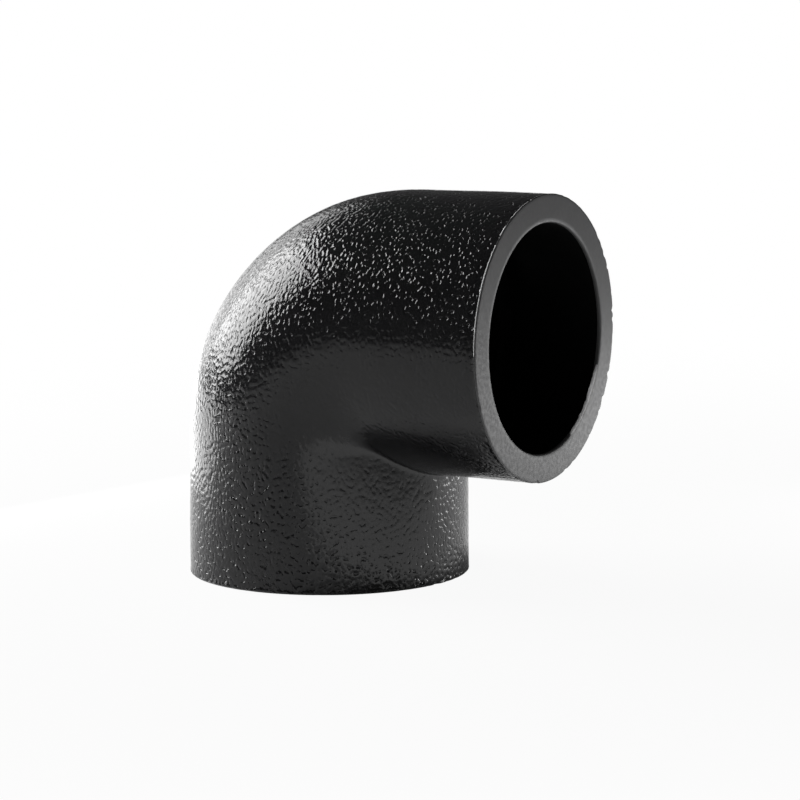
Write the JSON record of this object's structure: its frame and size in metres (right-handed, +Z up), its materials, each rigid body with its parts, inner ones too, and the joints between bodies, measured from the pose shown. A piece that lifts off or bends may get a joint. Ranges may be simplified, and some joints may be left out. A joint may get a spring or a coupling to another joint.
{
  "type": "socket fusion elbow",
  "caption": "Right-angle pipe elbow moulded in black polyethylene, with a plain socket at each end that the pipe is melted into.",
  "frame": {"origin": "middle of the lower socket's mouth, in the plane of its ring face, which the fitting stands on", "axes": "+Z up the lower leg's axis, +X along the side leg's axis, out of its mouth; the XZ plane halves the fitting"},
  "size_m": [0.108, 0.078, 0.108],
  "materials": {
    "black_polyethylene": "leather-grained moulded skin, satin; the ring faces of the mouths are smooth and a little greyer"
  },
  "bodies": {
    "root": {"elbow_body": "black_polyethylene"}
  },
  "joints": []
}
